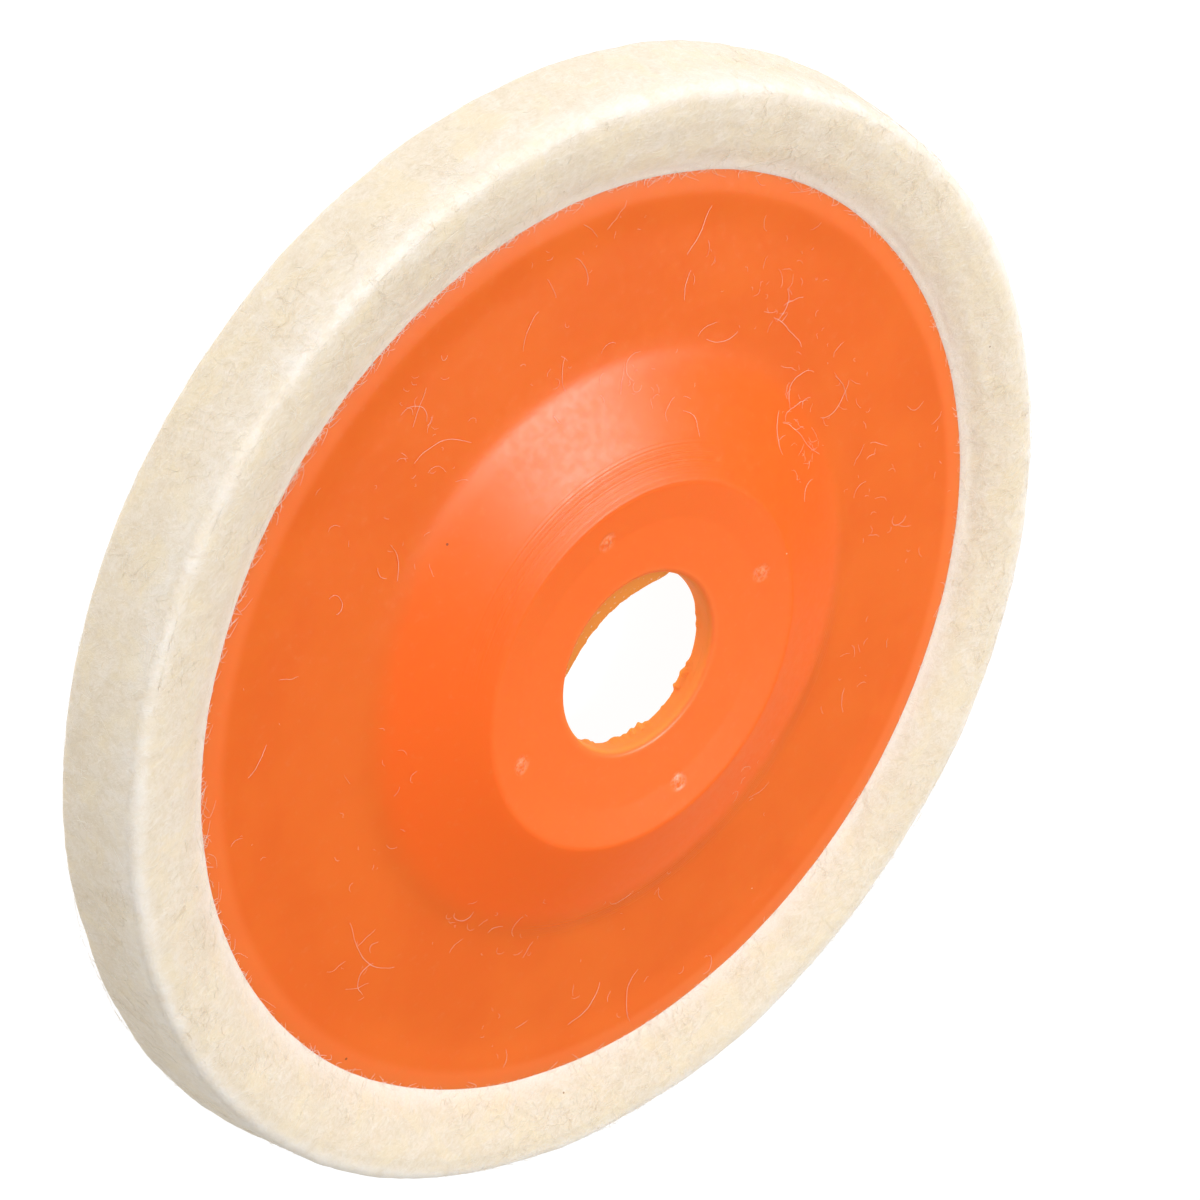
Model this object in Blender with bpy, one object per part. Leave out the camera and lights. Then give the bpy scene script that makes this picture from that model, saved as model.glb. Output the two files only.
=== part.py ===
"""Felt polishing wheel, 100 mm across with a 16 mm bore: a ring of pressed wool on a moulded plate.

+Z runs along the spindle axis, from the flat working face at z = 0 towards the grinder. Units are metres.
"""

import math

import bmesh
import bpy
from mathutils import Vector

MM = 0.001
TURN_STEPS = 64
ARC_STEP = math.radians(30)
SHARP_ANGLE = math.radians(38)
GAP = 0.3 * MM

# Felt ring
WHEEL_RADIUS = 50.0 * MM
FELT_HEIGHT = 8.0 * MM
FRONT_RIM_RADIUS = 48.3 * MM
RIDGE_RADIUS = 46.6 * MM
FACE_CORNER_ROUND = 0.9 * MM
RIDGE_ROUND = 1.3 * MM
FELT_MOUTH_HEIGHT = 5.7 * MM
SHOULDER_RADIUS = 43.3 * MM
SHOULDER_HEIGHT = 7.0 * MM
FELT_HOLE_RADIUS = 24.5 * MM

# Backing plate
BORE_RADIUS = 8.0 * MM
BORE_EDGE_ROUND = 0.5 * MM
SEAT_RADIUS = 12.5 * MM
SEAT_HEIGHT = 8.15 * MM
WALL = 2.0 * MM
HUB_EDGE_RADIUS = 16.5 * MM
HUB_EDGE_HEIGHT = 9.15 * MM
CONE_BASE_RADIUS = 26.3 * MM
WEB_HEIGHT = 5.37 * MM
LIP_START_RADIUS = 37.6 * MM
LIP_CREST_RADIUS = 39.3 * MM
LIP_CREST_HEIGHT = 5.67 * MM
PLATE_RADIUS = 41.4 * MM
PLATE_EDGE_HEIGHT = 5.57 * MM

# Gate marks: a shallow ring groove round a small flush nub
GATE_COUNT = 4
GATE_CIRCLE_RADIUS = 13.7 * MM
GATE_GROOVE_RADIUS = 0.9 * MM
GATE_NUB_RADIUS = 0.4 * MM
GATE_DEPTH = 0.2 * MM
GATE_STEPS = 16

# Adhesive layer
ADHESIVE_THICKNESS = 0.4 * MM
ADHESIVE_INNER_RADIUS = 26.4 * MM
ADHESIVE_OUTER_RADIUS = 40.6 * MM

PLATE_UNDERSIDE = WEB_HEIGHT - WALL
ADHESIVE_TOP = PLATE_UNDERSIDE - GAP
RECESS_FLOOR = ADHESIVE_TOP - ADHESIVE_THICKNESS - GAP
RECESS_RADIUS = PLATE_RADIUS + GAP


def clear_scene():
    for old in list(bpy.data.objects):
        bpy.data.objects.remove(old, do_unlink=True)


def principled(name, color, roughness, subsurface=0.0, sheen=0.0):
    material = bpy.data.materials.new(name)
    material.use_nodes = True
    shader = material.node_tree.nodes["Principled BSDF"]
    shader.inputs["Base Color"].default_value = (*color, 1.0)
    shader.inputs["Roughness"].default_value = roughness
    shader.inputs["Metallic"].default_value = 0.0
    shader.inputs["Subsurface Weight"].default_value = subsurface
    shader.inputs["Sheen Weight"].default_value = sheen
    material.diffuse_color = (*color, 1.0)
    return material


def rounded_outline(corners):
    """The closed outline through corners of (radius, height, rounding), with each rounding as an arc."""
    outline = []
    for index, (radius, height, rounding) in enumerate(corners):
        corner = Vector((radius, height))
        if rounding == 0:
            outline.append(corner)
            continue
        after = corners[(index + 1) % len(corners)]
        to_last = (Vector(corners[index - 1][:2]) - corner).normalized()
        to_next = (Vector(after[:2]) - corner).normalized()
        half_angle = to_last.angle(to_next) / 2
        centre = corner + (to_last + to_next).normalized() * rounding / math.sin(half_angle)
        reach = rounding / math.tan(half_angle)
        start = corner + to_last * reach - centre
        turn = (corner + to_next * reach - centre).angle_signed(start)
        steps = max(1, math.ceil(abs(turn) / ARC_STEP))
        for step in range(steps + 1):
            angle = turn * step / steps
            across = start.x * math.cos(angle) - start.y * math.sin(angle)
            up = start.x * math.sin(angle) + start.y * math.cos(angle)
            outline.append(centre + Vector((across, up)))
    return outline


def turned(name, outline, steps, material=None):
    """A closed ring made by spinning an outline about Z."""
    bm = bmesh.new()
    rim = [bm.verts.new((point.x, 0, point.y)) for point in outline]
    edges = [bm.edges.new((rim[index - 1], vert)) for index, vert in enumerate(rim)]
    bmesh.ops.spin(
        bm,
        geom=rim + edges,
        cent=(0, 0, 0),
        axis=(0, 0, 1),
        angle=math.tau,
        steps=steps,
        use_merge=True,
    )
    bmesh.ops.recalc_face_normals(bm, faces=bm.faces)
    mesh = bpy.data.meshes.new(name)
    bm.to_mesh(mesh)
    bm.free()
    mesh.shade_smooth()
    mesh.set_sharp_from_angle(angle=SHARP_ANGLE)
    ring = bpy.data.objects.new(name, mesh)
    bpy.context.collection.objects.link(ring)
    if material:
        mesh.materials.append(material)
    return ring


def make_felt_wheel():
    """The wool ring: a flat working face, a rim that flares towards it and a front sloping to the recess."""
    wool = principled("wool_felt", (0.80, 0.68, 0.50), 0.95, sheen=0.3)
    corners = [
        (FELT_HOLE_RADIUS, 0, 0.5 * MM),
        (FELT_HOLE_RADIUS, RECESS_FLOOR, 0),
        (RECESS_RADIUS, RECESS_FLOOR, 0),
        (RECESS_RADIUS, FELT_MOUTH_HEIGHT, 0.3 * MM),
        (SHOULDER_RADIUS, SHOULDER_HEIGHT, 4.0 * MM),
        (RIDGE_RADIUS, FELT_HEIGHT, RIDGE_ROUND),
        (FRONT_RIM_RADIUS, FELT_HEIGHT, RIDGE_ROUND * 0.6),
        (WHEEL_RADIUS, FACE_CORNER_ROUND, 0),
        (WHEEL_RADIUS - 0.25 * FACE_CORNER_ROUND, 0.3 * FACE_CORNER_ROUND, 0),
        (WHEEL_RADIUS - FACE_CORNER_ROUND, 0, 0),
    ]
    return turned("felt_wheel", rounded_outline(corners), TURN_STEPS, wool)


def cone_underside_radius(height):
    """The radius of the cone's inner face at a height, one wall's thickness inside its outer face."""
    run = CONE_BASE_RADIUS - HUB_EDGE_RADIUS
    rise = HUB_EDGE_HEIGHT - WEB_HEIGHT
    drop = WALL * math.hypot(run, rise) / run
    return CONE_BASE_RADIUS - (height + drop - WEB_HEIGHT) * run / rise


def add_gate_grooves(plate):
    """Cuts the gate marks square into the sloping face between the seat and the hub's edge."""
    slope = math.atan2(HUB_EDGE_HEIGHT - SEAT_HEIGHT, HUB_EDGE_RADIUS - SEAT_RADIUS)
    face_height = SEAT_HEIGHT + (GATE_CIRCLE_RADIUS - SEAT_RADIUS) * math.tan(slope)
    outline = [
        Vector((GATE_NUB_RADIUS, -GATE_DEPTH)),
        Vector((GATE_NUB_RADIUS, WALL)),
        Vector((GATE_GROOVE_RADIUS, WALL)),
        Vector((GATE_GROOVE_RADIUS, -GATE_DEPTH)),
    ]
    for index in range(GATE_COUNT):
        azimuth = math.tau * index / GATE_COUNT
        cutter = turned(f"gate_cutter_{index + 1}", outline, GATE_STEPS)
        cutter.location = (
            GATE_CIRCLE_RADIUS * math.cos(azimuth),
            GATE_CIRCLE_RADIUS * math.sin(azimuth),
            face_height,
        )
        cutter.rotation_euler = (0, -slope, azimuth)
        cutter.hide_render = True
        cutter.display_type = "WIRE"
        groove = plate.modifiers.new(f"gate_{index + 1}", "BOOLEAN")
        groove.operation = "DIFFERENCE"
        groove.solver = "EXACT"
        groove.object = cutter


def make_backing_plate():
    """The moulded plate: a bored hub on a truncated cone, a flat web and a rolled outer lip."""
    orange = principled("orange_plastic", (0.90, 0.17, 0.035), 0.35, subsurface=0.1)
    seat_underside = SEAT_HEIGHT - WALL
    corners = [
        (BORE_RADIUS, seat_underside, 0),
        (BORE_RADIUS, SEAT_HEIGHT, BORE_EDGE_ROUND),
        (SEAT_RADIUS, SEAT_HEIGHT, 0),
        (HUB_EDGE_RADIUS, HUB_EDGE_HEIGHT, 0.6 * MM),
        (CONE_BASE_RADIUS, WEB_HEIGHT, 2.0 * MM),
        (LIP_START_RADIUS, WEB_HEIGHT, 1.0 * MM),
        (LIP_CREST_RADIUS, LIP_CREST_HEIGHT, 1.5 * MM),
        (PLATE_RADIUS, PLATE_EDGE_HEIGHT, 0.5 * MM),
        (PLATE_RADIUS, PLATE_UNDERSIDE, 0.5 * MM),
        (cone_underside_radius(PLATE_UNDERSIDE), PLATE_UNDERSIDE, 2.0 * MM),
        (cone_underside_radius(seat_underside), seat_underside, 0.8 * MM),
    ]
    plate = turned("backing_plate", rounded_outline(corners), TURN_STEPS, orange)
    add_gate_grooves(plate)
    return plate


def make_adhesive_layer():
    """The thin ring of glue between the plate's web and the felt."""
    glue = principled("dried_glue", (0.70, 0.50, 0.22), 0.45)
    outline = [
        Vector((ADHESIVE_INNER_RADIUS, ADHESIVE_TOP - ADHESIVE_THICKNESS)),
        Vector((ADHESIVE_INNER_RADIUS, ADHESIVE_TOP)),
        Vector((ADHESIVE_OUTER_RADIUS, ADHESIVE_TOP)),
        Vector((ADHESIVE_OUTER_RADIUS, ADHESIVE_TOP - ADHESIVE_THICKNESS)),
    ]
    return turned("adhesive_layer", outline, TURN_STEPS, glue)


clear_scene()
make_felt_wheel()
make_adhesive_layer()
make_backing_plate()
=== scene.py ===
"""The looks of the felt polishing wheel: fuzzy pressed wool on a glossy moulded plate."""

import math

import bpy
import numpy as np
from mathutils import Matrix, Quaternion, Vector, noise


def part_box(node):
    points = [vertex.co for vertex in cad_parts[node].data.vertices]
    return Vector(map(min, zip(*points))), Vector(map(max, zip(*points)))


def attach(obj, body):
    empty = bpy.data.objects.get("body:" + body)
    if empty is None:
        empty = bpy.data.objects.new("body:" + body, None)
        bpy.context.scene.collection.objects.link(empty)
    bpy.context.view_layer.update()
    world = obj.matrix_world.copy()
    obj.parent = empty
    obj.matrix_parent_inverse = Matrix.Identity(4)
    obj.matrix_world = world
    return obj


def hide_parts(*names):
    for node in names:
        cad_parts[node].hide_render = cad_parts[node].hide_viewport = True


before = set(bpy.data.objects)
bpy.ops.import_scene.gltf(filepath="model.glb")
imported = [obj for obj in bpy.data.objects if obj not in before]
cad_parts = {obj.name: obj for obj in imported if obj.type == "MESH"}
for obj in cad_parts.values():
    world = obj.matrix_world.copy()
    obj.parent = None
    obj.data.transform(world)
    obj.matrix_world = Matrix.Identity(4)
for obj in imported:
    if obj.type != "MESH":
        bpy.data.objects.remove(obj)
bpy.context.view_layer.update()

MM = 0.001
SEED = 41

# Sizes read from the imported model
felt_low, felt_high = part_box("felt_wheel")
plate_low, plate_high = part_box("backing_plate")
glue_low, glue_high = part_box("adhesive_layer")
WHEEL_RADIUS = felt_high.x
FELT_TOP = felt_high.z
PLATE_RADIUS = plate_high.x
PLATE_UNDERSIDE = plate_low.z
HUB_TOP = plate_high.z
GLUE_OUTER_RADIUS = glue_high.x

# Backing plate
BORE_RADIUS = 8.0 * MM
WALL = 2.0 * MM
SEAT_RADIUS = 11.0 * MM
SEAT_HEIGHT = HUB_TOP - 0.97 * MM
BORE_BURR = 0.75 * MM
HUB_EDGE_RADIUS = 16.5 * MM
CONE_BASE_RADIUS = 26.3 * MM
WEB_HEIGHT = PLATE_UNDERSIDE + WALL
LIP_START_RADIUS = PLATE_RADIUS - 4.6 * MM
LIP_CREST_RADIUS = PLATE_RADIUS - 2.1 * MM
LIP_CREST_HEIGHT = WEB_HEIGHT + 0.30 * MM
PLATE_EDGE_HEIGHT = WEB_HEIGHT + 0.20 * MM
PLATE_STEPS = 480

# Gate marks on the hub, one on each axis
GATE_COUNT = 4
GATE_CIRCLE_RADIUS = 13.7 * MM
GATE_RING_RADIUS = 0.62 * MM
GATE_RING_WIDTH = 0.17 * MM
GATE_DEPTH = 0.07 * MM
GATE_NUB_RADIUS = 0.22 * MM
GATE_NUB_HEIGHT = 0.05 * MM

# Thin flash left in the bore, widest at one azimuth
FLASH_HEIGHT = SEAT_HEIGHT - 0.85 * MM
FLASH_THICKNESS = 0.22 * MM
FLASH_REACH = 1.95 * MM
FLASH_AZIMUTH = math.radians(280)
FLASH_HALF_SPAN = math.radians(56)
FLASH_NOMINAL_REACH = 1.0 * MM

# Felt ring
FELT_STEPS = 720
FELT_HOLE_RADIUS = 24.5 * MM
FELT_MOUTH_RADIUS = PLATE_RADIUS - 0.75 * MM
FELT_MOUTH_HEIGHT = PLATE_EDGE_HEIGHT - 0.36 * MM
FELT_EDGE_RADIUS = PLATE_RADIUS - 0.3 * MM
FELT_LAP_RADIUS = PLATE_RADIUS - 0.15 * MM
FELT_LAP_HEIGHT = PLATE_EDGE_HEIGHT + 0.16 * MM
SHOULDER_RADIUS = PLATE_RADIUS + 1.9 * MM
SHOULDER_HEIGHT = FELT_TOP - 1.05 * MM
# Width of the pale band painted next to the plate, partly fringe and partly painted light
MOUTH_BAND_WIDTH = 2.2 * MM
FELT_RECESS_RADIUS = PLATE_RADIUS + 0.05 * MM
FELT_RECESS_FLOOR = glue_low.z - 0.3 * MM
FRONT_RIM_RADIUS = WHEEL_RADIUS - 1.55 * MM
RIDGE_RADIUS = WHEEL_RADIUS - 3.5 * MM
# Where the painted highlight along the felt's ridge lies
RIDGE_BAND_RADIUS = FRONT_RIM_RADIUS - 0.35 * MM
RIDGE_BAND_HALF_WIDTH = 1.2 * MM

# Glue ring
GLUE_STEPS = 540

# Loose fibres
FRONT_HAIRS = 4200
RIM_HAIRS = 4800
BACK_HAIRS = 4800
FUZZ_HAIR_LENGTH = 1.4 * MM
EDGE_HAIRS = 1300
EDGE_HAIR_REACH = 0.30 * MM
EDGE_HAIR_THICKNESS = 0.024 * MM
SHED_HAIRS = 330
SHED_HAIR_LENGTH = 0.9 * MM
SHED_CLUSTERS = 60

# Studio
HORIZON_BRIGHTNESS = 0.08
ZENITH_BRIGHTNESS = 0.64
FLOOR_GREY = 0.13
FLOOR_GLOW = 0.96
FLOOR_HALF_WIDTH = 3.0
FLOOR_HEIGHT = -0.35 * MM

# Softboxes: name, azimuth and elevation in degrees, distance, size, radiance and colour
SOFTBOXES = (
    ("overhead_softbox", 266, 65, 0.5, 0.18, 14.0, (1.0, 1.0, 1.0)),
    ("side_softbox", 348, 17, 0.7, 0.40, 4.5, (0.93, 0.95, 1.0)),
    ("camera_fill", 35, 20, 0.8, 0.40, 1.8, (1.0, 1.0, 1.0)),
)

# Camera: from above one side, close enough for clear perspective, and rolled in the frame
VIEW_AZIMUTH = math.radians(31.2)
VIEW_ELEVATION = math.radians(40.97)
VIEW_ROLL = math.radians(120.3)
VIEW_DISTANCE = 0.2247
VIEW_AIM = Vector((-2.46 * MM, -1.49 * MM, 0.8 * MM))
LENS_MM = 80.1
SENSOR_MM = 36.0


# ---------------------------------------------------------------- shapes

def rounded_outline(corners, arc_step=math.radians(12)):
    """The closed outline through corners of (radius, height, rounding), with each rounding as an arc."""
    outline = []
    for index, (radius, height, rounding) in enumerate(corners):
        corner = Vector((radius, height))
        if rounding == 0:
            outline.append(corner)
            continue
        after = corners[(index + 1) % len(corners)]
        to_last = (Vector(corners[index - 1][:2]) - corner).normalized()
        to_next = (Vector(after[:2]) - corner).normalized()
        half_angle = to_last.angle(to_next) / 2
        centre = corner + (to_last + to_next).normalized() * rounding / math.sin(half_angle)
        reach = rounding / math.tan(half_angle)
        start = corner + to_last * reach - centre
        turn = (corner + to_next * reach - centre).angle_signed(start)
        steps = max(1, math.ceil(abs(turn) / arc_step))
        for step in range(steps + 1):
            angle = turn * step / steps
            across = start.x * math.cos(angle) - start.y * math.sin(angle)
            up = start.x * math.sin(angle) + start.y * math.cos(angle)
            outline.append(centre + Vector((across, up)))
    return np.array([tuple(point) for point in outline])


def divided(outline, spacing):
    """The closed outline with each stretch divided to at most spacing(middle point)."""
    points = []
    for start, end in zip(outline, np.roll(outline, -1, axis=0)):
        parts = max(1, math.ceil(np.linalg.norm(end - start) / spacing((start + end) / 2)))
        for part in range(parts):
            points.append(start + (end - start) * part / parts)
    return np.array(points)


def mesh_object(name, points, faces, material, smooth=True):
    mesh = bpy.data.meshes.new(name)
    mesh.from_pydata(points.tolist(), [], faces)
    if smooth:
        mesh.shade_smooth()
    mesh.materials.append(material)
    piece = bpy.data.objects.new(name, mesh)
    bpy.context.collection.objects.link(piece)
    return piece


def turned(name, outline, steps, material, change=None):
    """A closed ring made by turning an outline about Z.

    change, if given, takes radius, height and azimuth and returns the moved radius and height.
    """
    azimuth = np.linspace(0, math.tau, steps, endpoint=False)[:, None]
    radius = np.repeat(outline[None, :, 0], steps, axis=0)
    height = np.repeat(outline[None, :, 1], steps, axis=0)
    azimuth = np.repeat(azimuth, len(outline), axis=1)
    if change:
        radius, height = change(radius, height, azimuth)
    points = np.stack([radius * np.cos(azimuth), radius * np.sin(azimuth), height], axis=2)
    index = np.arange(steps * len(outline)).reshape(steps, len(outline))
    onward = np.roll(index, -1, axis=0)
    beside = np.roll(index, -1, axis=1)
    across = np.roll(onward, -1, axis=1)
    faces = np.stack([index, onward, across, beside], axis=2).reshape(-1, 4)
    return mesh_object(name, points.reshape(-1, 3), faces.tolist(), material)


class Skin:
    """A stretch of an outline as a surface.

    A place on it is a distance along the stretch, an azimuth and a height above the surface.
    """

    def __init__(self, line):
        self.line = line
        steps = np.linalg.norm(np.diff(line, axis=0), axis=1)
        self.along = np.concatenate([[0], np.cumsum(steps)])
        self.length = self.along[-1]
        tangent = np.gradient(line, self.along, axis=0)
        tangent /= np.linalg.norm(tangent, axis=1)[:, None]
        self.normal = np.stack([tangent[:, 1], -tangent[:, 0]], axis=1)

    def radius(self, along):
        return np.interp(along, self.along, self.line[:, 0])

    def place(self, along, azimuth, height):
        radius = self.radius(along) + height * np.interp(along, self.along, self.normal[:, 0])
        up = np.interp(along, self.along, self.line[:, 1])
        up = up + height * np.interp(along, self.along, self.normal[:, 1])
        return np.stack([radius * np.cos(azimuth), radius * np.sin(azimuth), up], axis=-1)

    def sample(self, rng, count):
        """Distances along the outline, spread evenly over the turned surface."""
        fine = np.linspace(0, self.length, 2000)
        share = np.cumsum(self.radius(fine))
        return np.interp(rng.random(count) * share[-1], share, fine)


def relief(points, scales):
    """Lumpiness at each point: the sum of noise of (size, height)."""
    total = np.zeros(len(points))
    for size, height in scales:
        total += height * np.array([noise.noise(Vector(p) / size) for p in points])
    return total


FELT_RELIEF = ((14 * MM, 0.18 * MM), (4.5 * MM, 0.09 * MM), (1.4 * MM, 0.045 * MM), (0.6 * MM, 0.025 * MM))


# ---------------------------------------------------------------- materials

class Look:
    """A node material, built up by short calls that each return an output socket."""

    def __init__(self, name):
        self.material = bpy.data.materials.new(name)
        self.material.use_nodes = True
        self.tree = self.material.node_tree
        self.shader = self.tree.nodes["Principled BSDF"]
        self.place = self.add("ShaderNodeTexCoord").outputs["Object"]

    def add(self, kind, **settings):
        node = self.tree.nodes.new(kind)
        for key, value in settings.items():
            setattr(node, key, value)
        return node

    def feed(self, socket, value):
        if isinstance(value, bpy.types.NodeSocket):
            self.tree.links.new(value, socket)
        else:
            socket.default_value = value

    def noise(self, size, detail=3.0, roughness=0.5, distortion=0.0, vector=None):
        node = self.add("ShaderNodeTexNoise")
        self.feed(node.inputs["Vector"], vector or self.place)
        node.inputs["Scale"].default_value = 1 / size
        node.inputs["Detail"].default_value = detail
        node.inputs["Roughness"].default_value = roughness
        node.inputs["Distortion"].default_value = distortion
        return node.outputs["Fac"]

    def stretched(self, turn, stretch, vector=None):
        """The place turned and squeezed, so that a pattern read there runs in streaks."""
        node = self.add("ShaderNodeMapping")
        self.feed(node.inputs["Vector"], vector or self.place)
        node.inputs["Rotation"].default_value = turn
        node.inputs["Scale"].default_value = (1 / stretch, 1, 1)
        return node.outputs["Vector"]

    def ramp(self, value, low, high, start=0.0, end=1.0):
        node = self.add("ShaderNodeMapRange", interpolation_type="SMOOTHSTEP")
        self.feed(node.inputs["Value"], value)
        node.inputs["From Min"].default_value = low
        node.inputs["From Max"].default_value = high
        node.inputs["To Min"].default_value = start
        node.inputs["To Max"].default_value = end
        return node.outputs["Result"]

    def math(self, operation, first, second=0.0, third=0.0):
        node = self.add("ShaderNodeMath", operation=operation)
        for socket, value in zip(node.inputs, (first, second, third)):
            self.feed(socket, value)
        return node.outputs["Value"]

    def mix(self, share, first, second):
        node = self.add("ShaderNodeMix", data_type="RGBA")
        self.feed(node.inputs["Factor"], share)
        for socket, color in zip((node.inputs[6], node.inputs[7]), (first, second)):
            self.feed(socket, (*color, 1.0) if isinstance(color, tuple) else color)
        return node.outputs[2]

    def specks(self, cell, size, share):
        """1 on small round specks, in that share of the cells."""
        node = self.add("ShaderNodeTexVoronoi")
        self.feed(node.inputs["Vector"], self.place)
        node.inputs["Scale"].default_value = 1 / cell
        near = self.ramp(node.outputs["Distance"], size / cell, 0.6 * size / cell)
        split = self.add("ShaderNodeSeparateColor")
        self.feed(split.inputs["Color"], node.outputs["Color"])
        chosen = self.math("LESS_THAN", split.outputs["Red"], share)
        return self.math("MULTIPLY", near, chosen)

    def axes(self):
        """The place's X, Y and Z."""
        split = self.add("ShaderNodeSeparateXYZ")
        self.feed(split.inputs["Vector"], self.place)
        return [split.outputs[axis] for axis in "XYZ"]

    def distance(self, *ways):
        """The length of what lies along two square ways."""
        squares = [self.math("MULTIPLY", way, way) for way in ways]
        return self.math("SQRT", self.math("ADD", *squares))

    def radius(self):
        return self.distance(*self.axes()[:2])

    def above(self, height):
        """1 above a height, and 0 from half a millimetre below it."""
        return self.ramp(self.axes()[2], height - 0.5 * MM, height)

    def band(self, value, centre, half_width):
        """1 at centre, falling to 0 at half_width to either side."""
        away = self.math("ABSOLUTE", self.math("SUBTRACT", value, centre))
        return self.ramp(away, half_width, 0.0)

    def side(self, azimuth):
        """1 on the side of the axis that faces an azimuth, fading out to either side of it."""
        node = self.add("ShaderNodeVectorMath", operation="NORMALIZE")
        self.feed(node.inputs[0], self.place)
        dot = self.add("ShaderNodeVectorMath", operation="DOT_PRODUCT")
        self.feed(dot.inputs[0], node.outputs["Vector"])
        dot.inputs[1].default_value = (math.cos(azimuth), math.sin(azimuth), 0)
        return self.ramp(dot.outputs["Value"], 0.45, 0.85)

    def rings(self, pitch):
        """Fine turning marks: noise that changes only with radius."""
        node = self.add("ShaderNodeTexNoise", noise_dimensions="1D")
        self.feed(node.inputs["W"], self.radius())
        node.inputs["Scale"].default_value = 1 / pitch
        node.inputs["Detail"].default_value = 2.0
        return node.outputs["Fac"]

    def bump(self, height, distance, strength=1.0, under=None):
        node = self.add("ShaderNodeBump")
        self.feed(node.inputs["Height"], height)
        node.inputs["Distance"].default_value = distance
        node.inputs["Strength"].default_value = strength
        if under:
            self.feed(node.inputs["Normal"], under)
        return node.outputs["Normal"]

    def set(self, **values):
        for key, value in values.items():
            self.feed(self.shader.inputs[key.replace("_", " ")], value)
        return self.material


def fibre_streaks(look, size, turns):
    """Crossing streaks at several turns, the brightest one showing, like matted fibres."""
    warp = look.add("ShaderNodeTexNoise")
    look.feed(warp.inputs["Vector"], look.place)
    warp.inputs["Scale"].default_value = 1 / (3 * MM)
    shift = look.add("ShaderNodeVectorMath", operation="MULTIPLY_ADD")
    look.feed(shift.inputs[0], warp.outputs["Color"])
    look.feed(shift.inputs[1], (2.2 * MM,) * 3)
    look.feed(shift.inputs[2], look.place)
    streaks = None
    for turn in turns:
        vector = look.stretched(turn, 9.0, shift.outputs["Vector"])
        streak = look.noise(size, 2.0, 0.6, 0.0, vector)
        streaks = look.math("MAXIMUM", streaks, streak) if streaks else streak
    return streaks


def felt_look():
    look = Look("wool_felt")
    turns = ((0.3, 0.2, 0.1), (0.2, 0.5, 1.2), (0.6, -0.3, 2.3), (1.3, 0.2, 0.6), (-0.9, 1.1, 1.8))
    streaks = fibre_streaks(look, 0.20 * MM, turns)
    clumps = look.noise(2.2 * MM, 5.0, 0.62, 0.6)
    patches = look.noise(3.5 * MM, 4.0, 0.65, 0.8)
    grain = look.noise(0.45 * MM, 4.0, 0.7)
    cream = look.mix(look.ramp(clumps, 0.32, 0.70), (0.780, 0.668, 0.512), (0.830, 0.735, 0.604))
    grained = look.mix(look.ramp(grain, 0.34, 0.60, 0.55, 0.0), cream, (0.72, 0.60, 0.42))
    yellowed = look.mix(look.ramp(patches, 0.46, 0.64, 0.0, 0.65), grained, (0.83, 0.705, 0.495))
    fibrous = look.mix(look.ramp(streaks, 0.55, 0.80, 0.0, 0.55), yellowed, (0.90, 0.82, 0.71))
    # Painted shade: darker blotches stand for the shade in the felt's hollows.
    painted_hollow_shade = look.ramp(look.noise(0.8 * MM, 3.0), 0.42, 0.25, 0.0, 0.25)
    shaded = look.mix(painted_hollow_shade, fibrous, (0.64, 0.53, 0.37))
    radius = look.radius()
    on_front = look.above(PLATE_EDGE_HEIGHT - 0.2 * MM)
    # Painted highlight, partly fluffed wool: the felt is whiter in a band along its ridge, where the crest
    # catches the light.
    on_ridge = look.math("MULTIPLY", on_front, look.band(radius, RIDGE_BAND_RADIUS, RIDGE_BAND_HALF_WIDTH))
    fluff_and_painted_highlight = look.math("MULTIPLY", on_ridge, look.ramp(clumps, 0.30, 0.62, 0.30, 0.65))
    ridged = look.mix(fluff_and_painted_highlight, shaded, (0.93, 0.875, 0.81))
    # Painted light, partly pale fringe: the felt is lighter and pinker next to the plate. It stands for
    # light bounced from the plate and lifts the shade on the slope.
    at_mouth = look.ramp(radius, FELT_MOUTH_RADIUS + MOUTH_BAND_WIDTH, FELT_MOUTH_RADIUS, 0.0, 0.65)
    fringe_and_painted_light = look.mix(look.math("MULTIPLY", on_front, at_mouth), ridged, (0.95, 0.865, 0.785))
    brown = look.mix(look.specks(3.2 * MM, 0.12 * MM, 0.14), fringe_and_painted_light, (0.36, 0.22, 0.12))
    color = look.mix(look.specks(6.0 * MM, 0.09 * MM, 0.12), brown, (0.14, 0.12, 0.11))
    lumps = look.bump(clumps, 0.16 * MM, 0.5)
    grainy = look.bump(grain, 0.07 * MM, 0.7, lumps)
    matted = look.bump(streaks, 0.07 * MM, 0.8, grainy)
    return look.set(
        Base_Color=color,
        Roughness=look.ramp(streaks, 0.4, 0.8, 0.97, 0.85),
        Normal=matted,
        Sheen_Weight=0.2,
        Sheen_Roughness=0.6,
        Specular_IOR_Level=0.15,
        Subsurface_Weight=0.3,
        Subsurface_Radius=(1.0, 0.85, 0.65),
        Subsurface_Scale=0.4 * MM,
    )


def let_light_through(look, color, share):
    """Mixes in a share of light that comes through from behind."""
    glow = look.add("ShaderNodeBsdfTranslucent")
    look.feed(glow.inputs["Color"], color)
    blend = look.add("ShaderNodeMixShader")
    blend.inputs["Fac"].default_value = share
    look.feed(blend.inputs[1], look.shader.outputs["BSDF"])
    look.feed(blend.inputs[2], glow.outputs["BSDF"])
    look.feed(look.tree.nodes["Material Output"].inputs["Surface"], blend.outputs["Shader"])
    return look.material


def fibre_look(name, color, pale):
    look = Look(name)
    tone = look.mix(look.ramp(look.noise(1.5 * MM, 2.0), 0.35, 0.65), color, pale)
    look.set(Base_Color=tone, Roughness=0.6, Specular_IOR_Level=0.3)
    return let_light_through(look, tone, 0.45)


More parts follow.
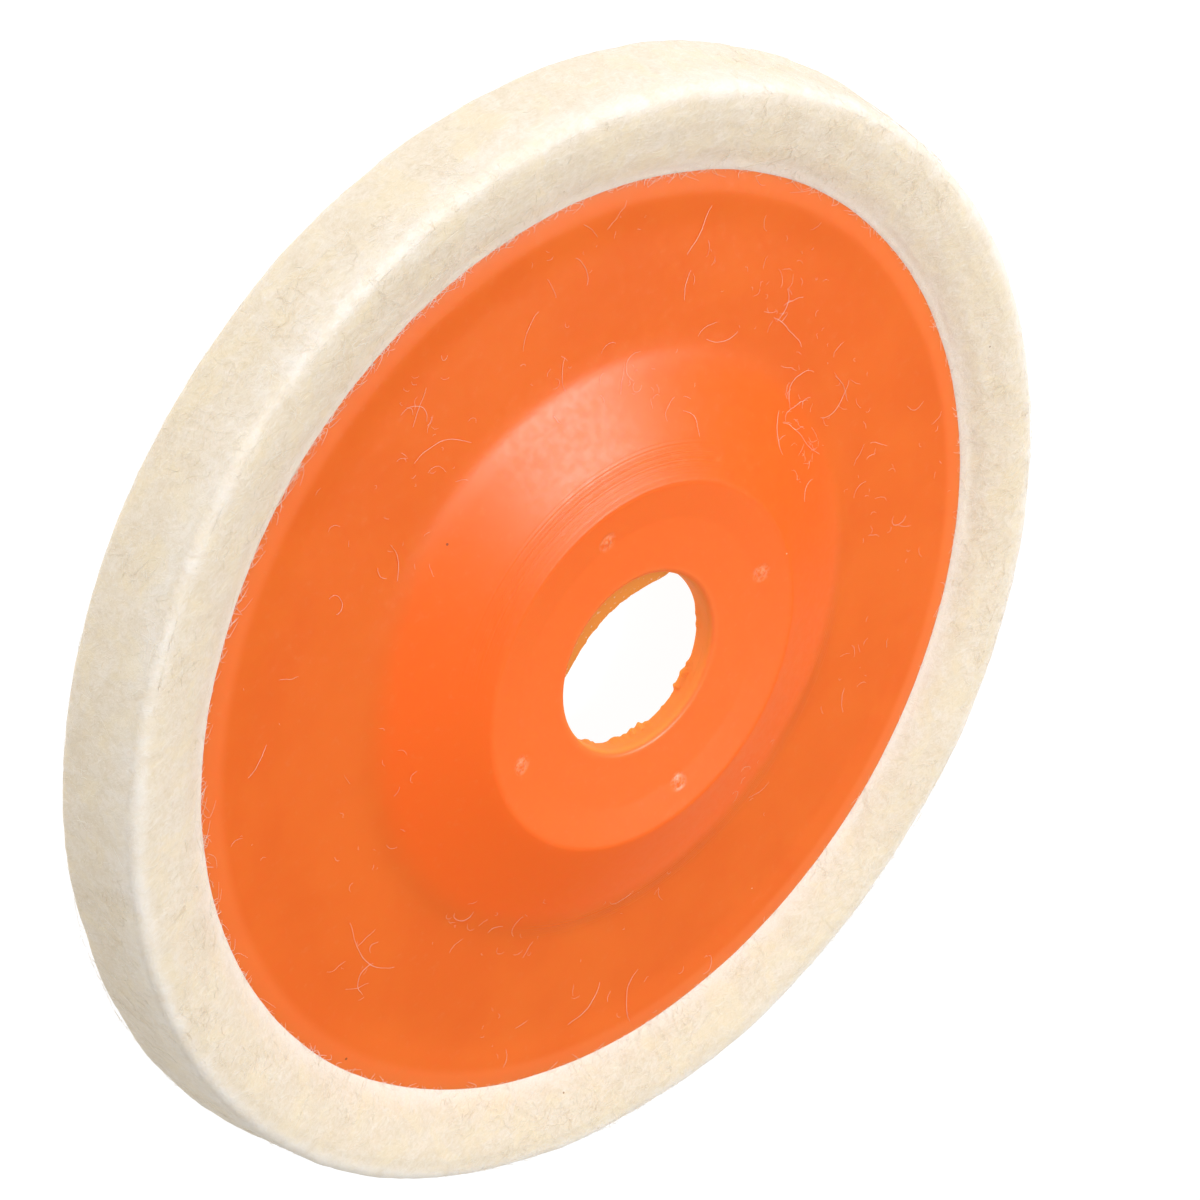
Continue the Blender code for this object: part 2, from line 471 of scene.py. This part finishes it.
def gate_distance(look):
    """The distance to the nearest gate mark."""
    sides = [look.math("ABSOLUTE", way) for way in look.axes()[:2]]
    along = look.math("SUBTRACT", look.math("MAXIMUM", *sides), GATE_CIRCLE_RADIUS)
    return look.distance(along, look.math("MINIMUM", *sides))


def plastic_look():
    look = Look("orange_plastic")
    radius = look.radius()
    cloudy = look.noise(9 * MM, 3.0, 0.5, 0.4)
    body = look.mix(look.ramp(cloudy, 0.3, 0.7), (0.81, 0.130, 0.002), (0.84, 0.148, 0.005))
    # Painted highlights: the lip's crest, the hub's top and the bore's edge are a lighter orange, standing
    # for their sheen and for light through the plastic.
    at_rim = look.ramp(radius, LIP_CREST_RADIUS - 0.5 * MM, LIP_CREST_RADIUS + 0.6 * MM, 0.0, 0.5)
    at_bore = look.ramp(radius, BORE_RADIUS + 1.6 * MM, BORE_RADIUS, 0.0, 0.8)
    on_wall = look.ramp(radius, BORE_RADIUS + 0.25 * MM, BORE_RADIUS + 0.05 * MM, 0.0, 0.8)
    on_hub = look.ramp(radius, HUB_EDGE_RADIUS + 0.3 * MM, HUB_EDGE_RADIUS - 0.6 * MM, 0.0, 0.35)
    painted_highlights = look.math("MAXIMUM", on_hub, look.math("MAXIMUM", at_rim, at_bore))
    # Painted light: the cone is a brighter, redder orange than the web, which lifts the shade on its far
    # side.
    on_cone = look.ramp(radius, CONE_BASE_RADIUS, CONE_BASE_RADIUS - 3.0 * MM)
    coned = look.mix(on_cone, body, (0.95, 0.138, 0.002))
    orange = look.mix(painted_highlights, coned, (0.97, 0.205, 0.038))
    # Painted light: the bore wall is a lighter orange, standing for light coming through the thin plastic.
    lit = look.mix(on_wall, orange, (1.0, 0.30, 0.05))
    worn = look.noise(0.8 * MM, 4.0, 0.65)
    near_gate = look.ramp(gate_distance(look), 1.05 * MM, 0.5 * MM, 0.0, 0.45)
    on_gate = look.math("MULTIPLY", near_gate, look.above(SEAT_HEIGHT - 0.2 * MM))
    scuffed = look.math("MULTIPLY", on_gate, look.ramp(look.noise(0.3 * MM, 3.0), 0.38, 0.58))
    pale = look.mix(scuffed, lit, (0.95, 0.40, 0.22))
    dull = look.mix(look.ramp(worn, 0.55, 0.8, 0.0, 0.08), pale, (0.90, 0.38, 0.16))
    dust = look.mix(look.specks(3.4 * MM, 0.085 * MM, 0.22), dull, (0.95, 0.60, 0.40))
    color = look.mix(look.specks(6.0 * MM, 0.15 * MM, 0.22), dust, (0.35, 0.06, 0.01))
    hub_edge = look.band(radius, HUB_EDGE_RADIUS + 1.4 * MM, 2.4 * MM)
    cone_base = look.band(radius, CONE_BASE_RADIUS - 0.6 * MM, 1.6 * MM)
    near_flash = look.math("MULTIPLY", hub_edge, look.side(FLASH_AZIMUTH))
    far_side = look.math("MULTIPLY", cone_base, look.side(FLASH_AZIMUTH + math.pi))
    marks = look.math("MULTIPLY", look.rings(0.16 * MM), look.math("MAXIMUM", near_flash, far_side))
    scratches = look.noise(0.3 * MM, 2.0, 0.5, 0.0, look.stretched((0, 0, 0.9), 14.0))
    orange_peel = look.bump(look.noise(1.6 * MM, 3.0), 0.02 * MM, 0.5)
    scratched = look.bump(scratches, 0.012 * MM, 0.35, orange_peel)
    glossy = look.ramp(worn, 0.3, 0.75, 0.31, 0.40)
    in_bore = look.ramp(radius, BORE_RADIUS + 0.5 * MM, BORE_RADIUS + 0.1 * MM, 0.0, 0.8)
    return look.set(
        Base_Color=color,
        Roughness=look.math("MAXIMUM", glossy, in_bore),
        Normal=look.bump(marks, 0.10 * MM, 0.8, scratched),
        Subsurface_Weight=0.4,
        Subsurface_Radius=(1.0, 0.35, 0.05),
        Subsurface_Scale=2.0 * MM,
        Specular_IOR_Level=0.42,
    )


def flash_look():
    """Plastic so thin that light comes through it amber."""
    look = Look("thin_flash")
    whitened = look.ramp(look.noise(0.35 * MM, 3.0), 0.60, 0.72)
    color = look.mix(whitened, (0.92, 0.44, 0.09), (0.96, 0.80, 0.55))
    look.set(Base_Color=color, Roughness=0.4, Normal=look.bump(look.noise(0.5 * MM), 0.05 * MM, 0.6))
    return let_light_through(look, look.mix(whitened, (0.88, 0.42, 0.03), (1.0, 0.78, 0.45)), 0.55)


def glue_look():
    look = Look("dried_adhesive")
    cloudy = look.noise(1.8 * MM, 4.0, 0.6, 0.5)
    color = look.mix(look.ramp(cloudy, 0.3, 0.7), (0.62, 0.40, 0.13), (0.80, 0.62, 0.32))
    return look.set(
        Base_Color=color,
        Roughness=look.ramp(cloudy, 0.3, 0.7, 0.28, 0.5),
        Normal=look.bump(look.noise(0.7 * MM, 3.0), 0.08 * MM, 0.7),
        Subsurface_Weight=0.2,
        Subsurface_Radius=(1.0, 0.6, 0.25),
        Subsurface_Scale=0.5 * MM,
    )


# ---------------------------------------------------------------- the plate

def cone_underside_radius(height):
    """The radius of the cone's inner face at a height, one wall's thickness inside its outer face."""
    run = CONE_BASE_RADIUS - HUB_EDGE_RADIUS
    rise = HUB_TOP - WEB_HEIGHT
    drop = WALL * math.hypot(run, rise) / run
    return CONE_BASE_RADIUS - (height + drop - WEB_HEIGHT) * run / rise


def plate_corners():
    """The plate's section, from the bore's back edge up, outwards over the top and back underneath."""
    seat_underside = SEAT_HEIGHT - WALL
    flash_low = FLASH_HEIGHT - FLASH_THICKNESS
    flash_radius = BORE_RADIUS - FLASH_NOMINAL_REACH
    return [
        (BORE_RADIUS, seat_underside, 0.12 * MM),
        (BORE_RADIUS, seat_underside + 0.5 * MM, 0),
        (BORE_RADIUS, flash_low, 0),
        (flash_radius, flash_low, 0.05 * MM),
        (flash_radius, FLASH_HEIGHT, 0.05 * MM),
        (BORE_RADIUS, FLASH_HEIGHT, 0),
        (BORE_RADIUS, SEAT_HEIGHT, 0.6 * MM),
        (SEAT_RADIUS, SEAT_HEIGHT, 24 * MM),
        (HUB_EDGE_RADIUS, HUB_TOP + 0.03 * MM, 1.0 * MM),
        (CONE_BASE_RADIUS, WEB_HEIGHT, 6.0 * MM),
        (LIP_START_RADIUS, WEB_HEIGHT, 7.0 * MM),
        (LIP_CREST_RADIUS, LIP_CREST_HEIGHT, 2.2 * MM),
        (PLATE_RADIUS, PLATE_EDGE_HEIGHT, 0.35 * MM),
        (PLATE_RADIUS, PLATE_UNDERSIDE, 0.5 * MM),
        (cone_underside_radius(PLATE_UNDERSIDE), PLATE_UNDERSIDE, 2.0 * MM),
        (cone_underside_radius(seat_underside), seat_underside, 0.8 * MM),
    ]


def plate_spacing(middle):
    """How finely the plate's outline is divided: finest where the gate marks are."""
    radius, height = middle
    if height > SEAT_HEIGHT - 0.05 * MM and abs(radius - GATE_CIRCLE_RADIUS) < 1.4 * MM:
        return 0.09 * MM
    if radius < HUB_EDGE_RADIUS + 1.0 * MM:
        return 0.5 * MM
    return 0.9 * MM


def flash_reach(azimuth):
    """How far the flash stands into the bore: a ragged crescent, and a trace of burr elsewhere."""
    turn = (azimuth - FLASH_AZIMUTH + math.pi) % math.tau - math.pi
    crescent = np.clip(1 - (turn / FLASH_HALF_SPAN) ** 2, 0, 1) ** 0.6
    ring = np.stack([np.cos(azimuth), np.sin(azimuth), 0 * azimuth], axis=-1)
    rough = np.array([noise.noise(Vector(p) * 9) + 0.5 * noise.noise(Vector(p) * 31) for p in ring])
    return crescent * FLASH_REACH * (1 + 0.05 * rough) + 0.01 * MM


def bore_burr(azimuth):
    """How far the bore's back edge is torn inwards, on the side away from the flash."""
    turn = (azimuth - FLASH_AZIMUTH) % math.tau - math.pi
    ring = np.stack([np.cos(azimuth), np.sin(azimuth), 0 * azimuth + 3], axis=-1)
    torn = np.array([noise.noise(Vector(p) * 4) + 0.5 * noise.noise(Vector(p) * 15) for p in ring])
    return BORE_BURR * np.clip(0.25 + torn, 0, 1) * np.clip(1.4 - np.abs(turn), 0, 1)


def gate_relief(radius, azimuth):
    """A ring groove round a nub at each gate, as heights."""
    quarter = math.tau / GATE_COUNT
    turn = (azimuth + quarter / 2) % quarter - quarter / 2
    away = np.hypot(radius * np.cos(turn) - GATE_CIRCLE_RADIUS, radius * np.sin(turn))
    groove = np.exp(-(((away - GATE_RING_RADIUS) / GATE_RING_WIDTH) ** 2))
    nub = np.exp(-((away / GATE_NUB_RADIUS) ** 2))
    return GATE_NUB_HEIGHT * nub - GATE_DEPTH * groove


def plate_change(radius, height, azimuth):
    reach = flash_reach(azimuth[:, 0])[:, None] / FLASH_NOMINAL_REACH
    inside = np.clip(BORE_RADIUS - radius, 0, None)
    radius = np.where(inside > 0, BORE_RADIUS - inside * reach, radius)
    at_back = (radius < BORE_RADIUS + 0.13 * MM) & (height < SEAT_HEIGHT - WALL + 0.3 * MM)
    radius = radius - np.where(at_back, bore_burr(azimuth[:, 0])[:, None], 0)
    on_hub = (height > SEAT_HEIGHT - 0.01 * MM) & (radius < HUB_EDGE_RADIUS - 0.6 * MM)
    height = height + np.where(on_hub, gate_relief(radius, azimuth), 0)
    return radius, height


def make_plate():
    outline = divided(rounded_outline(plate_corners()), plate_spacing)
    plate = turned("moulded_plate", outline, PLATE_STEPS, plastic_look(), plate_change)
    plate.data.set_sharp_from_angle(angle=math.radians(50))
    plate.data.materials.append(flash_look())
    for face in plate.data.polygons:
        inside = math.hypot(face.center.x, face.center.y) < BORE_RADIUS - 0.12 * MM
        if inside and face.center.z > FLASH_HEIGHT - FLASH_THICKNESS - 0.1 * MM:
            face.material_index = 1
    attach(plate, "root")
    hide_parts("backing_plate")
    return outline


# ---------------------------------------------------------------- the glue

def glue_change(radius, height, azimuth):
    """Lets the inner edge wander in and out, as squeezed-out glue does."""
    inner = radius < GLUE_OUTER_RADIUS - 5 * MM
    ring = np.stack([np.cos(azimuth[:, 0]), np.sin(azimuth[:, 0]), 0 * azimuth[:, 0]], axis=-1)
    wander = np.array([0.35 * noise.noise(Vector(p) * 6) + 0.2 * noise.noise(Vector(p) * 23) for p in ring])
    return radius + np.where(inner, wander[:, None] * MM, 0), height


def make_glue():
    top = PLATE_UNDERSIDE - 0.02 * MM
    bottom = FELT_RECESS_FLOOR + 0.16 * MM
    bead = FELT_HOLE_RADIUS + 0.75 * MM
    corners = [
        (bead, bottom, 0.3 * MM),
        (bead, top - 0.05 * MM, 0.3 * MM),
        (GLUE_OUTER_RADIUS, top, 0.1 * MM),
        (GLUE_OUTER_RADIUS, bottom, 0.1 * MM),
    ]

    def spacing(middle):
        return 0.25 * MM if middle[0] < bead + 2 * MM else 4 * MM

    outline = divided(rounded_outline(corners), spacing)
    glue = turned("glue_ring", outline, GLUE_STEPS, glue_look(), glue_change)
    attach(glue, "root")
    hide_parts("adhesive_layer")


# ---------------------------------------------------------------- the felt

def felt_corners():
    """The felt's section, from the back hole over the recess, front and rim to the working face."""
    return [
        (FELT_HOLE_RADIUS, 0, 0.6 * MM),
        (FELT_HOLE_RADIUS, FELT_RECESS_FLOOR, 0.4 * MM),
        (FELT_RECESS_RADIUS, FELT_RECESS_FLOOR, 0.1 * MM),
        (FELT_RECESS_RADIUS, FELT_MOUTH_HEIGHT - 0.35 * MM, 0.05 * MM),
        (FELT_MOUTH_RADIUS, FELT_MOUTH_HEIGHT, 0.05 * MM),
        (FELT_LAP_RADIUS, FELT_LAP_HEIGHT, 0.2 * MM),
        (SHOULDER_RADIUS, SHOULDER_HEIGHT, 6.0 * MM),
        (RIDGE_RADIUS, FELT_TOP + 0.03 * MM, 5.0 * MM),
        (FRONT_RIM_RADIUS, FELT_TOP - 0.05 * MM, 1.0 * MM),
        (WHEEL_RADIUS, 0.9 * MM, 0.8 * MM),
        (WHEEL_RADIUS - 0.9 * MM, 0, 0.5 * MM),
    ]


def felt_spacing(middle):
    """How finely the felt's outline is divided: coarse where the plate hides it, and on its back."""
    radius, height = middle
    hidden = height > 0.5 * FELT_RECESS_FLOOR and radius < FELT_MOUTH_RADIUS - 0.3 * MM
    if hidden and radius > FELT_HOLE_RADIUS + 1 * MM:
        return 3.0 * MM
    if height < 0.05 * MM:
        return 0.7 * MM
    return 0.26 * MM


def make_felt():
    outline = divided(rounded_outline(felt_corners()), felt_spacing)
    felt = turned("wool_ring", outline, FELT_STEPS, felt_look())
    points = np.zeros(len(felt.data.vertices) * 3, np.float32)
    felt.data.vertices.foreach_get("co", points)
    normals = np.zeros(len(felt.data.vertices) * 3, np.float32)
    felt.data.vertices.foreach_get("normal", normals)
    points, normals = points.reshape(-1, 3).astype(float), normals.reshape(-1, 3).astype(float)
    points += normals * (relief(points, FELT_RELIEF) * felt_freedom(points))[:, None]
    felt.data.vertices.foreach_set("co", points.astype(np.float32).ravel())
    felt.data.update()
    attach(felt, "root")
    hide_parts("felt_wheel")
    return outline


def felt_freedom(points):
    """How freely the felt's surface wanders: less where the plate presses it, and on its flat back."""
    radius = np.hypot(points[:, 0], points[:, 1])
    pressed = (radius < FELT_MOUTH_RADIUS + 1.1 * MM) & (points[:, 2] > 0.5 * MM)
    flat = points[:, 2] < 0.2 * MM
    return np.where(pressed, 0.4, np.where(flat, 0.35, 1.0))


# ---------------------------------------------------------------- fibres

def tubes(name, paths, thickness, material):
    """Closed three-sided hairs along many paths at once, thinning to their ends."""
    count, length = paths.shape[:2]
    tangent = np.gradient(paths, axis=1)
    tangent /= np.linalg.norm(tangent, axis=2, keepdims=True) + 1e-12
    side = np.cross(tangent, np.array([0.31, 0.52, 0.79]))
    side /= np.linalg.norm(side, axis=2, keepdims=True) + 1e-12
    up = np.cross(tangent, side)
    along = np.linspace(0, 1, length)
    taper = 0.25 + 0.75 * np.sin(math.pi * (0.06 + 0.88 * along)) ** 0.5
    radius = thickness[:, None] / 2 * taper[None, :]
    angles = np.arange(3) * math.tau / 3
    spokes = np.cos(angles)[:, None] * side[:, :, None, :] + np.sin(angles)[:, None] * up[:, :, None, :]
    points = paths[:, :, None, :] + radius[:, :, None, None] * spokes
    index = np.arange(count * length * 3).reshape(count, length, 3)
    onward = np.roll(index, -1, axis=2)
    sides = np.stack([index[:, :-1], onward[:, :-1], onward[:, 1:], index[:, 1:]], axis=3)
    caps = [index[:, 0, ::-1], index[:, -1, :]]
    faces = sides.reshape(-1, 4).tolist() + caps[0].tolist() + caps[1].tolist()
    return mesh_object(name, points.reshape(-1, 3), faces, material, smooth=False)


def wandering(rng, skin, start, azimuth, length, points, wander, heading):
    """Paths over a skin that set off at their headings and curl: distances along it, and azimuths."""
    heading = heading[:, None]
    curl = rng.normal(0, wander, (len(start), 1))
    turns = np.cumsum(rng.normal(0, wander, (len(start), points)) + curl, axis=1)
    step = (length / (points - 1))[:, None]
    along = start[:, None] + np.cumsum(np.cos(heading + turns) * step, axis=1)
    across = np.cumsum(np.sin(heading + turns) * step, axis=1)
    around = azimuth[:, None] + across / skin.radius(start)[:, None]
    return np.clip(along, 0, skin.length), around


def make_fuzz(rng, name, skin, count, material, lift):
    """Short wool hairs matted into the felt's surface, some with a free end."""
    points = 6
    start = skin.sample(rng, count)
    length = np.clip(rng.lognormal(math.log(FUZZ_HAIR_LENGTH), 0.45, count), 0.6 * MM, 3.6 * MM)
    azimuth, heading = rng.uniform(0, math.tau, (2, count))
    along, around = wandering(rng, skin, start, azimuth, length, points, 0.3, heading)
    t = np.linspace(0, 1, points)
    arch = rng.uniform(0.2, 1.0, (count, 1)) * np.sin(math.pi * t)[None, :]
    free = (rng.random((count, 1)) < 0.20) * rng.uniform(0.2, 1.3, (count, 1)) * t[None, :] ** 2
    height = -0.012 * MM + lift * (0.16 * arch + free)
    base = skin.place(along, around, 0 * height)
    bumps = relief(base.reshape(-1, 3), FELT_RELIEF) * felt_freedom(base.reshape(-1, 3))
    paths = skin.place(along, around, height + bumps.reshape(height.shape))
    hairs = tubes(name, paths, rng.uniform(0.014, 0.028, count) * MM, material)
    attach(hairs, "root")


def make_edge_hairs(rng, felt_skin, plate_skin, material):
    """Hairs that lean from the felt's front over the edge of the plate, thickest on one side."""
    points = 8
    azimuth = rng.uniform(0, math.tau, EDGE_HAIRS)
    ring = np.stack([np.cos(azimuth), np.sin(azimuth), 0 * azimuth], axis=-1)
    tufts = np.array([noise.noise(Vector(p) * 14) + 0.6 * noise.noise(Vector(p) * 45) for p in ring])
    lean = 0.5 + 0.5 * np.cos(azimuth - FLASH_AZIMUTH)
    share = (0.2 + 0.8 * lean) * np.clip(0.75 + 1.3 * tufts, 0.1, 1)
    azimuth = azimuth[rng.random(EDGE_HAIRS) < share]
    count = len(azimuth)
    reach = np.clip(rng.lognormal(math.log(EDGE_HAIR_REACH), 0.55, (count, 1)), 0.09 * MM, 1.5 * MM)
    root = rng.uniform(0.1, 0.5, (count, 1)) * MM
    t = np.linspace(0, 1, points)[None, :]
    radius = FELT_EDGE_RADIUS + root - (reach + root) * t
    slant = rng.normal(0, 0.9, (count, 1)) * (reach + root)
    curl = rng.normal(0, 0.7, (count, 1)) * (reach + root)
    around = azimuth[:, None] + (slant * t + curl * np.sin(math.pi * t)) / PLATE_RADIUS
    on_felt = np.interp(radius, felt_skin.line[::-1, 0], felt_skin.line[::-1, 1])
    on_plate = np.interp(radius, plate_skin.line[::-1, 0], plate_skin.line[::-1, 1])
    surface = np.where(radius > FELT_MOUTH_RADIUS, np.maximum(on_felt, on_plate), on_plate)
    up = surface + 0.01 * MM + (0.03 + 0.15 * rng.random((count, 1))) * MM * np.sin(0.8 * math.pi * t)
    paths = np.stack([radius * np.cos(around), radius * np.sin(around), up], axis=-1)
    hairs = tubes("edge_hairs", paths, rng.uniform(0.7, 1.3, count) * EDGE_HAIR_THICKNESS, material)
    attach(hairs, "root")


def make_shed_hairs(rng, skin, material):
    """Loose curled hairs lying on the plate in small clusters, shed by the felt."""
    count, points = SHED_HAIRS, 18
    cluster = rng.integers(0, SHED_CLUSTERS, count)
    spread = rng.normal(0, 1.8 * MM, (2, count))
    start = (rng.uniform(0.05, 0.62, SHED_CLUSTERS) * skin.length)[cluster] + spread[0]
    azimuth = rng.uniform(0, math.tau, SHED_CLUSTERS)[cluster] + spread[1] / skin.radius(start)
    heading = rng.uniform(0, math.tau, SHED_CLUSTERS)[cluster] + rng.normal(0, 0.7, count)
    length = np.clip(rng.lognormal(math.log(SHED_HAIR_LENGTH), 0.85, count), 0.25 * MM, 8 * MM)
    along, around = wandering(rng, skin, start, azimuth, length, points, 0.10, heading)
    t = np.linspace(0, 1, points)[None, :]
    waves = np.sin(t * rng.uniform(3, 9, (count, 1)) + rng.uniform(0, 6, (count, 1)))
    height = 0.03 * MM + 0.06 * MM * rng.random((count, 1)) * (1 + waves)
    paths = skin.place(along, around, height)
    thickness = 0.013 * MM + 0.020 * MM * np.clip(length / (4 * MM), 0, 1)
    hairs = tubes("shed_hairs", paths, thickness * rng.uniform(0.8, 1.2, count), material)
    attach(hairs, "root")


def outline_between(outline, first, last):
    """The stretch of a closed outline between the points nearest to two places."""
    begin = np.argmin(np.linalg.norm(outline - np.array(first), axis=1))
    end = np.argmin(np.linalg.norm(outline - np.array(last), axis=1))
    return np.roll(outline, -begin, axis=0)[: (end - begin) % len(outline) + 1]


def make_fibres(felt_outline, plate_outline):
    rng = np.random.default_rng(SEED)
    wool = fibre_look("wool_hair", (0.90, 0.83, 0.71), (0.97, 0.94, 0.88))
    fringe = fibre_look("fringe_hair", (0.96, 0.91, 0.84), (0.99, 0.97, 0.94))
    shed = fibre_look("shed_hair", (0.97, 0.82, 0.72), (0.99, 0.95, 0.91))
    mouth = (FELT_MOUTH_RADIUS, FELT_MOUTH_HEIGHT)
    ridge = (FRONT_RIM_RADIUS - 0.8 * MM, FELT_TOP)
    foot = (WHEEL_RADIUS, 0.9 * MM)
    hole = (FELT_HOLE_RADIUS, 0.6 * MM)
    front = Skin(outline_between(felt_outline, mouth, ridge)[::-1])
    rim = Skin(outline_between(felt_outline, ridge, foot)[::-1])
    back = Skin(outline_between(felt_outline, foot, hole)[::-1])
    make_fuzz(rng, "front_fuzz", front, FRONT_HAIRS, wool, 0.30 * MM)
    make_fuzz(rng, "rim_fuzz", rim, RIM_HAIRS, wool, 0.22 * MM)
    make_fuzz(rng, "back_fuzz", back, BACK_HAIRS, wool, 0.15 * MM)
    bore_edge = (BORE_RADIUS + 0.7 * MM, SEAT_HEIGHT)
    plate_edge = (PLATE_RADIUS, WEB_HEIGHT - 0.5 * MM)
    plate_top = Skin(outline_between(plate_outline, bore_edge, plate_edge)[::-1])
    make_edge_hairs(rng, front, plate_top, fringe)
    make_shed_hairs(rng, plate_top, shed)


# ---------------------------------------------------------------- stage

def make_floor():
    look = Look("pale_floor")
    look.set(Base_Color=(FLOOR_GREY, FLOOR_GREY, FLOOR_GREY, 1.0), Roughness=0.9, Specular_IOR_Level=0.0)
    look.set(Emission_Color=(1.0, 1.0, 1.0, 1.0), Emission_Strength=FLOOR_GLOW)
    mesh = bpy.data.meshes.new("floor")
    half, height = FLOOR_HALF_WIDTH, FLOOR_HEIGHT
    corners = [(-half, -half, height), (half, -half, height), (half, half, height), (-half, half, height)]
    mesh.from_pydata(corners, [], [(0, 1, 2, 3)])
    mesh.materials.append(look.material)
    floor = bpy.data.objects.new("floor", mesh)
    bpy.context.collection.objects.link(floor)


def direction(azimuth, elevation):
    """Azimuth 0 is from -Y, and turns towards +X."""
    level = math.cos(elevation)
    return Vector((math.sin(azimuth) * level, -math.cos(azimuth) * level, math.sin(elevation)))


def make_softbox(name, azimuth, elevation, distance, size, radiance, color):
    light = bpy.data.lights.new(name, "AREA")
    light.shape = "SQUARE"
    light.size = size
    light.color = color
    light.energy = radiance * math.pi * size * size
    box = bpy.data.objects.new(name, light)
    towards = direction(math.radians(azimuth), math.radians(elevation))
    box.location = towards * distance
    box.rotation_euler = towards.to_track_quat("Z", "Y").to_euler()
    bpy.context.collection.objects.link(box)


def make_lights():
    world = bpy.data.worlds.new("studio")
    world.use_nodes = True
    background = world.node_tree.nodes["Background"]
    background.inputs["Color"].default_value = (1.0, 1.0, 1.0, 1.0)
    place = world.node_tree.nodes.new("ShaderNodeTexCoord")
    split = world.node_tree.nodes.new("ShaderNodeSeparateXYZ")
    rise = world.node_tree.nodes.new("ShaderNodeMapRange")
    rise.inputs["To Min"].default_value = HORIZON_BRIGHTNESS
    rise.inputs["To Max"].default_value = ZENITH_BRIGHTNESS
    world.node_tree.links.new(place.outputs["Generated"], split.inputs["Vector"])
    world.node_tree.links.new(split.outputs["Z"], rise.inputs["Value"])
    world.node_tree.links.new(rise.outputs["Result"], background.inputs["Strength"])
    bpy.context.scene.world = world
    for softbox in SOFTBOXES:
        make_softbox(*softbox)


def make_camera():
    data = bpy.data.cameras.new("camera")
    data.lens = LENS_MM
    data.sensor_width = SENSOR_MM
    data.clip_start = 0.01
    data.clip_end = 20.0
    camera = bpy.data.objects.new("camera", data)
    towards = direction(VIEW_AZIMUTH, VIEW_ELEVATION)
    camera.location = VIEW_AIM + towards * VIEW_DISTANCE
    upright = towards.to_track_quat("Z", "Y")
    camera.rotation_euler = (upright @ Quaternion((0, 0, 1), VIEW_ROLL)).to_euler()
    bpy.context.collection.objects.link(camera)
    bpy.context.scene.camera = camera


bpy.context.scene.view_settings.view_transform = "Standard"
make_camera()
make_lights()
make_floor()
plate_outline = make_plate()
make_glue()
felt_outline = make_felt()
make_fibres(felt_outline, plate_outline)
